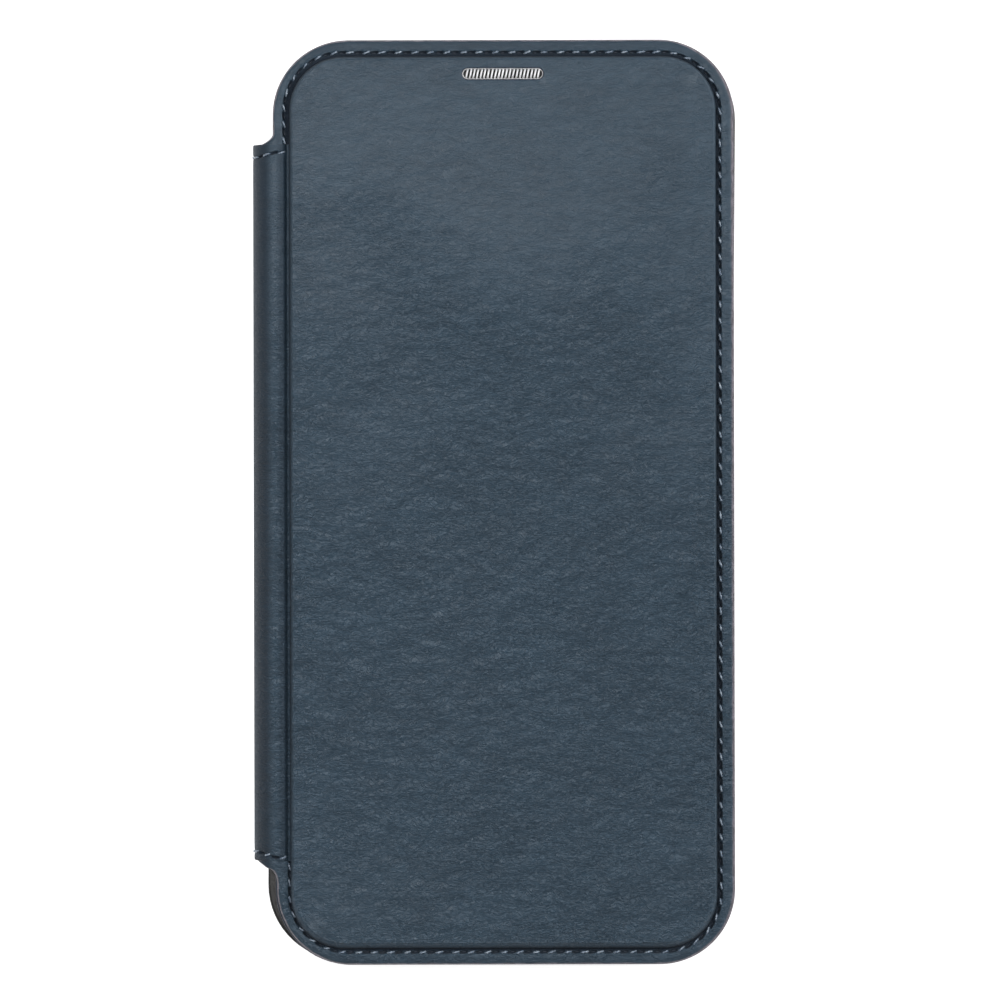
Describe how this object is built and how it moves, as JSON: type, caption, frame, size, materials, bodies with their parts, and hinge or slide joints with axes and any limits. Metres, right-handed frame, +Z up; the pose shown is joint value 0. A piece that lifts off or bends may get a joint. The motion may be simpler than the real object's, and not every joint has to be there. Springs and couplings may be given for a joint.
{
  "type": "phone wallet case",
  "caption": "Folio phone case: moulded shell, folding spine and padded front cover with card pockets, magnets, earpiece grille and button pads.",
  "frame": {"origin": "middle of the moulded shell, in the plane of the back leather that the closed case lies on", "axes": "+X across the case away from the spine, +Y along it towards the phone's top, +Z up through its thickness towards the front cover"},
  "size_m": [0.087, 0.1666, 0.0151],
  "materials": {
    "shell_rubber": "satin",
    "navy_leather": "satin",
    "lining_leather": "matt",
    "navy_thread": "matt",
    "greyboard": "matt",
    "stiffener_sheet": "matt",
    "foam": "matt",
    "magnet_metal": "plated",
    "grille_metal": "polished",
    "carrier_plastic": "matt"
  },
  "bodies": {
    "shell": {"phone_tray": "shell_rubber", "keeper_upper": "magnet_metal", "keeper_lower": "magnet_metal", "back_board": "greyboard", "back_leather": "navy_leather", "back_stitching": "navy_thread"},
    "power_pad": {"power_button": "shell_rubber"},
    "volume_up_pad": {"volume_up_button": "shell_rubber"},
    "volume_down_pad": {"volume_down_button": "shell_rubber"},
    "spine": {"spine_leather": "navy_leather", "spine_stiffener": "stiffener_sheet", "spine_lining": "lining_leather", "spine_stitching": "navy_thread"},
    "cover": {"cover_leather": "navy_leather", "cover_foam": "foam", "cover_board": "greyboard", "cover_lining": "lining_leather", "cover_stitching": "navy_thread", "magnet_upper": "magnet_metal", "magnet_lower": "magnet_metal", "speaker_grille": "grille_metal", "grille_frame": "carrier_plastic", "cash_pocket": "lining_leather", "card_pocket_rear": "lining_leather", "card_pocket_front": "lining_leather", "pocket_stitching": "navy_thread"}
  },
  "joints": [
    {"name": "spine_fold", "type": "hinge", "parent": "shell", "child": "spine", "pos_m": [-0.0423, 0, 0.00045], "axis": [0, -1, 0], "range_deg": [0, 180]},
    {"name": "cover_fold", "type": "hinge", "parent": "spine", "child": "cover", "pos_m": [-0.03845, 0, 0.01355], "axis": [0, -1, 0], "range_deg": [0, 105]},
    {"name": "power_press", "type": "slide", "parent": "shell", "child": "power_pad", "axis": [-1, 0, 0], "range_m": [0, 0.0004], "stiffness_N_per_m": 1500},
    {"name": "volume_up_press", "type": "slide", "parent": "shell", "child": "volume_up_pad", "axis": [1, 0, 0], "range_m": [0, 0.0004], "stiffness_N_per_m": 1500},
    {"name": "volume_down_press", "type": "slide", "parent": "shell", "child": "volume_down_pad", "axis": [1, 0, 0], "range_m": [0, 0.0004], "stiffness_N_per_m": 1500}
  ]
}
